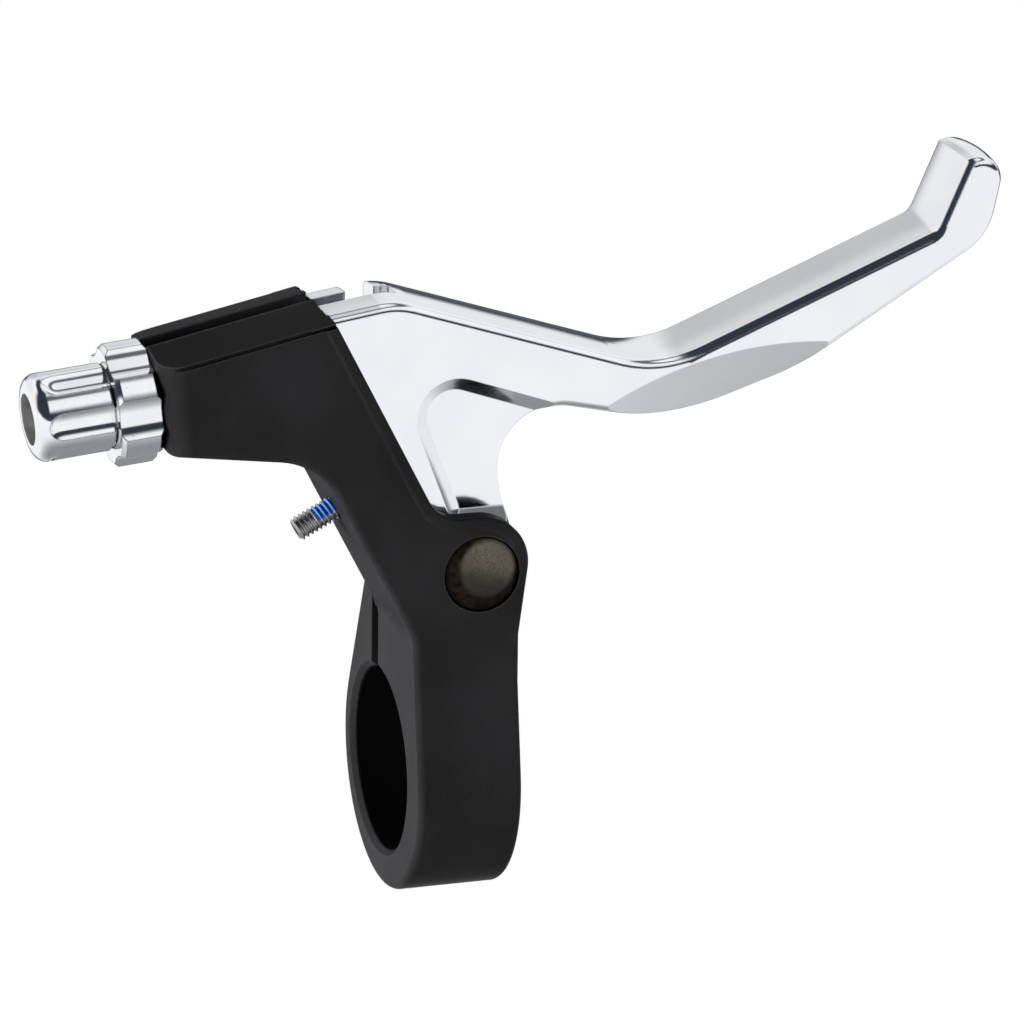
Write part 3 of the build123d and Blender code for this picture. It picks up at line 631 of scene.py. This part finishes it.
def make_reach_screw():
    """Grub screw with a real thread, chamfered ends and a key hole, in place of the plain one."""
    spare = REACH_PITCH
    end = spare + REACH_LENGTH
    screw = threaded_rod(
        "reach_screw_threaded", REACH_ROOT, REACH_RADIUS, REACH_PITCH, end + spare, REACH_SIDES
    )
    blank = chamfered_rod(BLANK_SIDES, REACH_RADIUS + BLANK_OVER, spare, end, REACH_CHAMFER)
    cut_with(screw, blank, "INTERSECT")
    key_hole = plain_rod(6, KEY_ACROSS / math.sqrt(3), end - KEY_DEPTH, end + spare)
    cut_with(screw, key_hole, "DIFFERENCE")
    start = middle_of("reach_screw") - reach_out * (REACH_LENGTH / 2)
    screw_top = reach_out.cross(across_body).normalized()
    put_in_place(screw, start - reach_out * spare, reach_out)
    finish_piece(screw, zinc_steel("reach_screw_zinc", (start, reach_out, screw_top)))
    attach(screw, "reach_screw")
    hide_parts("reach_screw")


# Adjuster thread
THREAD_ROOT = 4.90 * MM
THREAD_CREST = 4.985 * MM
THREAD_PITCH = 1.0 * MM
THREAD_LENGTH = 15.6 * MM
THREAD_IN = 10.8 * MM
THREAD_WALL = 0.15 * MM
THREAD_SIDES = 64


def make_adjuster_thread(chrome):
    """Thread round the shank of the barrel."""
    thread = threaded_rod(
        "adjuster_thread", THREAD_ROOT, THREAD_CREST, THREAD_PITCH, THREAD_LENGTH, THREAD_SIDES
    )
    spare = THREAD_LENGTH / 10
    core = plain_rod(THREAD_SIDES, THREAD_ROOT - THREAD_WALL, -spare, THREAD_LENGTH + spare)
    cut_with(thread, core, "DIFFERENCE")
    put_in_place(thread, head_end - adjuster_out * THREAD_IN, adjuster_out)
    finish_piece(thread, chrome)
    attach(thread, "barrel")


# Return spring
SPRING_REAR = -1.15 * MM
SPRING_WIRE = 0.45 * MM
SPRING_COIL = 4.4 * MM
SPRING_PITCH = 0.95 * MM
SPRING_TURNS = 3.5
SPRING_TANG = 2.4 * MM
SPRING_LEG = 4.4 * MM
SPRING_BEND = 0.6 * MM
WIRE_SIDES = 16
BEND_STEPS = 6
TURN_STEPS = 24


def turn_wire(angle, axis, centre):
    """Turns the end of the wire, in edit mode."""
    bpy.ops.transform.rotate(value=angle, orient_axis=axis, orient_type="GLOBAL", center_override=centre)


def make_return_spring():
    """Wound wire, with its tang in the rear ear and its leg in the lever."""
    deselect()
    bpy.ops.mesh.primitive_circle_add(
        vertices=WIRE_SIDES, radius=SPRING_WIRE, fill_type="NGON", location=(0, -SPRING_COIL, -SPRING_TANG)
    )
    spring = bpy.context.object
    spring.name = "return_spring_wound"
    bpy.ops.object.transform_apply(location=True)
    bpy.ops.object.mode_set(mode="EDIT")
    bpy.ops.mesh.select_mode(type="FACE")
    bpy.ops.mesh.select_all(action="SELECT")
    draw_out(0, 0, SPRING_TANG - SPRING_BEND)
    for _ in range(BEND_STEPS):
        draw_out(0, 0, 0)
        turn_wire(-math.pi / 2 / BEND_STEPS, "Y", (SPRING_BEND, -SPRING_COIL, -SPRING_BEND))
    for _ in range(int(SPRING_TURNS * TURN_STEPS)):
        draw_out(0, 0, SPRING_PITCH / TURN_STEPS)
        turn_wire(-2 * math.pi / TURN_STEPS, "Z", (0, 0, 0))
    draw_out(SPRING_BEND - SPRING_LEG, 0, 0)
    bpy.ops.object.mode_set(mode="OBJECT")
    put_in_place(spring, Vector((pivot.x, SPRING_REAR, pivot.z)), across_body)
    finish_piece(spring, spring_steel())
    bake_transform(spring)
    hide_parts("return_spring")


# Camera, with the place of the clamp's bore in the picture
CAMERA_AZIMUTH = math.radians(-17.7)
CAMERA_ELEVATION = math.radians(19.5)
CAMERA_ROLL = math.radians(-0.5)
PICTURE_WIDTH = 1024
FOCAL_PIXELS = 8000.0
PIXELS_PER_MM = 8.25
BORE_ACROSS = 428.7
BORE_DOWN = 753.2
SENSOR_WIDTH = 36


def make_camera():
    """Long lens, to the left of the face and above it."""
    right = Vector((math.cos(CAMERA_AZIMUTH), math.sin(CAMERA_AZIMUTH), 0))
    ahead = Vector((
        -math.sin(CAMERA_AZIMUTH) * math.cos(CAMERA_ELEVATION),
        math.cos(CAMERA_AZIMUTH) * math.cos(CAMERA_ELEVATION),
        -math.sin(CAMERA_ELEVATION),
    ))
    up = right.cross(ahead)
    side = right * math.cos(CAMERA_ROLL) - up * math.sin(CAMERA_ROLL)
    top = right * math.sin(CAMERA_ROLL) + up * math.cos(CAMERA_ROLL)
    middle_right = PICTURE_WIDTH / 2 - BORE_ACROSS
    middle_up = BORE_DOWN - PICTURE_WIDTH / 2
    aim = (ahead * FOCAL_PIXELS + side * middle_right + top * middle_up).normalized()
    side = (side - aim * side.dot(aim)).normalized()
    top = side.cross(aim)
    camera = bpy.data.objects.new("camera", bpy.data.cameras.new("camera"))
    camera.data.sensor_width = SENSOR_WIDTH
    camera.data.lens = SENSOR_WIDTH * FOCAL_PIXELS / PICTURE_WIDTH
    camera.data.clip_start = 0.01
    turn = Matrix((side, top, -aim)).transposed().to_4x4()
    distance = FOCAL_PIXELS / PIXELS_PER_MM * MM
    camera.matrix_world = Matrix.Translation(-ahead * distance) @ turn
    scene.collection.objects.link(camera)
    scene.camera = camera


# How bright the studio looks in polished metal
STUDIO_WHITE = (1, 1, 1, 1)
STUDIO_TINT = (0.965, 0.975, 1.0, 1)
FLOOR = 0.97
# Painted shadow of the part on the floor, as polished metal sees it
FLOOR_SHADOW_PAINTED = 0.26
FLOOR_BEHIND = 0.07
WALL = 0.56
WALL_RIGHT = 0.32
WALL_LEFT = 0.35
WALL_HIGH = 0.28
TENT = 1.0
TENT_GAP = 0.9
CORNERS = (0.030, 0.038, 0.052, 1)
SKY = 0.2

# Floor of the studio
FLOOR_HEIGHT = -0.16
FLOOR_RADIUS = 6
FLOOR_SIDES = 96
FLOOR_PAPER = (0.9, 0.9, 0.9, 1)


def ray_kinds(wire):
    """1 for rays from the camera, from mirrors and through glass."""
    path = wire.node("ShaderNodeLightPath").socket.node.outputs
    return [Wire(wire.tree, path[name]) for name in ("Is Camera Ray", "Is Glossy Ray", "Is Transmission Ray")]


def make_floor():
    """Pale floor well below the part, white away from its shadow."""
    deselect()
    bpy.ops.mesh.primitive_circle_add(
        vertices=FLOOR_SIDES, radius=FLOOR_RADIUS, fill_type="NGON", location=(0, 0, FLOOR_HEIGHT)
    )
    floor = bpy.context.object
    floor.name = "studio_floor"
    bpy.ops.object.transform_apply(location=True)
    material, shader, place = new_finish("floor_paper")
    plug(shader, {"Base Color": FLOOR_PAPER, "Roughness": 0.9, "Specular IOR Level": 0.1})
    x, y, _ = place.axes()
    camera, glossy, through = ray_kinds(place)
    away = radius_of(x, y).ease(0.22, 0.36)
    # Painted shadow: in polished metal the floor goes darker beneath the part
    shadow_painted_beneath = 1 - radius_of(x, y).ease(0.05, 0.32)
    behind = y.ease(0.16, 0.34) * (x + y * 0.12).ease(-0.08, 0.0)
    level = FLOOR - shadow_painted_beneath * (FLOOR - FLOOR_SHADOW_PAINTED)
    level = level + behind * (FLOOR_BEHIND - level)
    level = glossy * level + (1 - glossy)
    colour = blend(level, CORNERS, blend(glossy, STUDIO_WHITE, STUDIO_TINT))
    glow = place.node("ShaderNodeEmission", sockets={"Color": colour, "Strength": 1.0})
    paper = Wire(place.tree, shader.outputs["BSDF"])
    shown = (camera | through) * away | glossy
    mixed = place.node("ShaderNodeMixShader", sockets={0: shown, 1: paper, 2: glow})
    plug(material.node_tree.nodes["Material Output"], {"Surface": mixed})
    floor.data.materials.append(material)


def make_world():
    """White studio; in polished metal it has a pale wall behind and a dark ceiling and front."""
    world = bpy.data.worlds.new("studio")
    scene.world = world
    world.use_nodes = True
    place = Wire(world.node_tree).node("ShaderNodeTexCoord", output="Generated")
    x, y, z = place.axes()
    camera, glossy, through = ray_kinds(place)
    right = x.ease(0.0, 0.16)
    left = 1 - x.ease(-0.40, -0.12)
    behind = y.ease(0.0, 0.35)
    low = 1 - z.ease(0.70, 0.82)
    wall = behind * low * (z + left * 0.3).ease(0.04, 0.12)
    shade = WALL + x.ease(0.12, 0.28) * WALL_RIGHT + left * WALL_LEFT + z.ease(0.45, 0.70) * WALL_HIGH
    gap = z.ease(0.80, 0.85) * (1 - z.ease(0.91, 0.95))
    tent = right * z.ease(0.36, 0.56) * (1 - behind * low) * (1 - gap * TENT_GAP) * TENT
    front = (1 - behind) * (1 - z.ease(0.04, 0.12)) * TENT
    level = wall * shade | tent | front
    sky = glossy * level + (1 - glossy) * SKY
    shown = camera | through
    tint = blend(glossy, STUDIO_WHITE, STUDIO_TINT)
    colour = blend(shown + (1 - shown) * sky, CORNERS, tint)
    plug(world.node_tree.nodes["Background"], {"Color": colour})


# Lamps
LAMP_AIM = Vector((0.01, -0.006, 0.03))


def softbox(name, place, size, watts):
    """Area lamp aimed at the part, hidden from polished metal, which mirrors the studio instead."""
    lamp = bpy.data.lights.new(name, "AREA")
    lamp.shape = "RECTANGLE"
    lamp.size, lamp.size_y = size
    lamp.energy = watts
    holder = bpy.data.objects.new(name, lamp)
    holder.visible_glossy = False
    holder.location = place
    holder.rotation_euler = (LAMP_AIM - Vector(place)).to_track_quat("-Z", "Y").to_euler()
    scene.collection.objects.link(holder)


def make_studio():
    """Floor, world, lamps and camera."""
    make_floor()
    make_world()
    softbox("top_softbox", place=(0.05, 0.10, 0.95), size=(0.8, 0.6), watts=1.0)
    softbox("left_softbox", place=(-1.0, -0.05, 0.05), size=(0.5, 0.4), watts=50.0)
    softbox("key_softbox", place=(0.40, -0.95, 0.30), size=(0.45, 0.45), watts=14.0)
    softbox("back_softbox", place=(0.25, 1.0, 0.05), size=(0.5, 0.4), watts=14.0)
    softbox("right_softbox", place=(1.0, 0.3, 0.05), size=(0.5, 0.4), watts=14.0)
    make_camera()
    scene.view_settings.view_transform = "Standard"


# Dressing

def dress(finishes):
    """Gives each solid its finish."""
    for name, material in finishes.items():
        nodes[name].data.materials.clear()
        nodes[name].data.materials.append(material)


chrome = bright_chrome()
bush_plastic = bearing_plastic()
dress({
    "bracket": black_paint(),
    "lever": polished_alloy(),
    "pivot_pin": pin_oxide(),
    "pivot_screw": zinc_steel("pivot_screw_zinc"),
    "front_bush": bush_plastic,
    "rear_bush": bush_plastic,
    "barrel_adjuster": chrome,
    "lock_nut": chrome,
    "clamp_washer": zinc_steel("washer_zinc"),
    "clamp_bolt": dark_steel(),
})
make_reach_screw()
make_adjuster_thread(chrome)
make_return_spring()
make_studio()
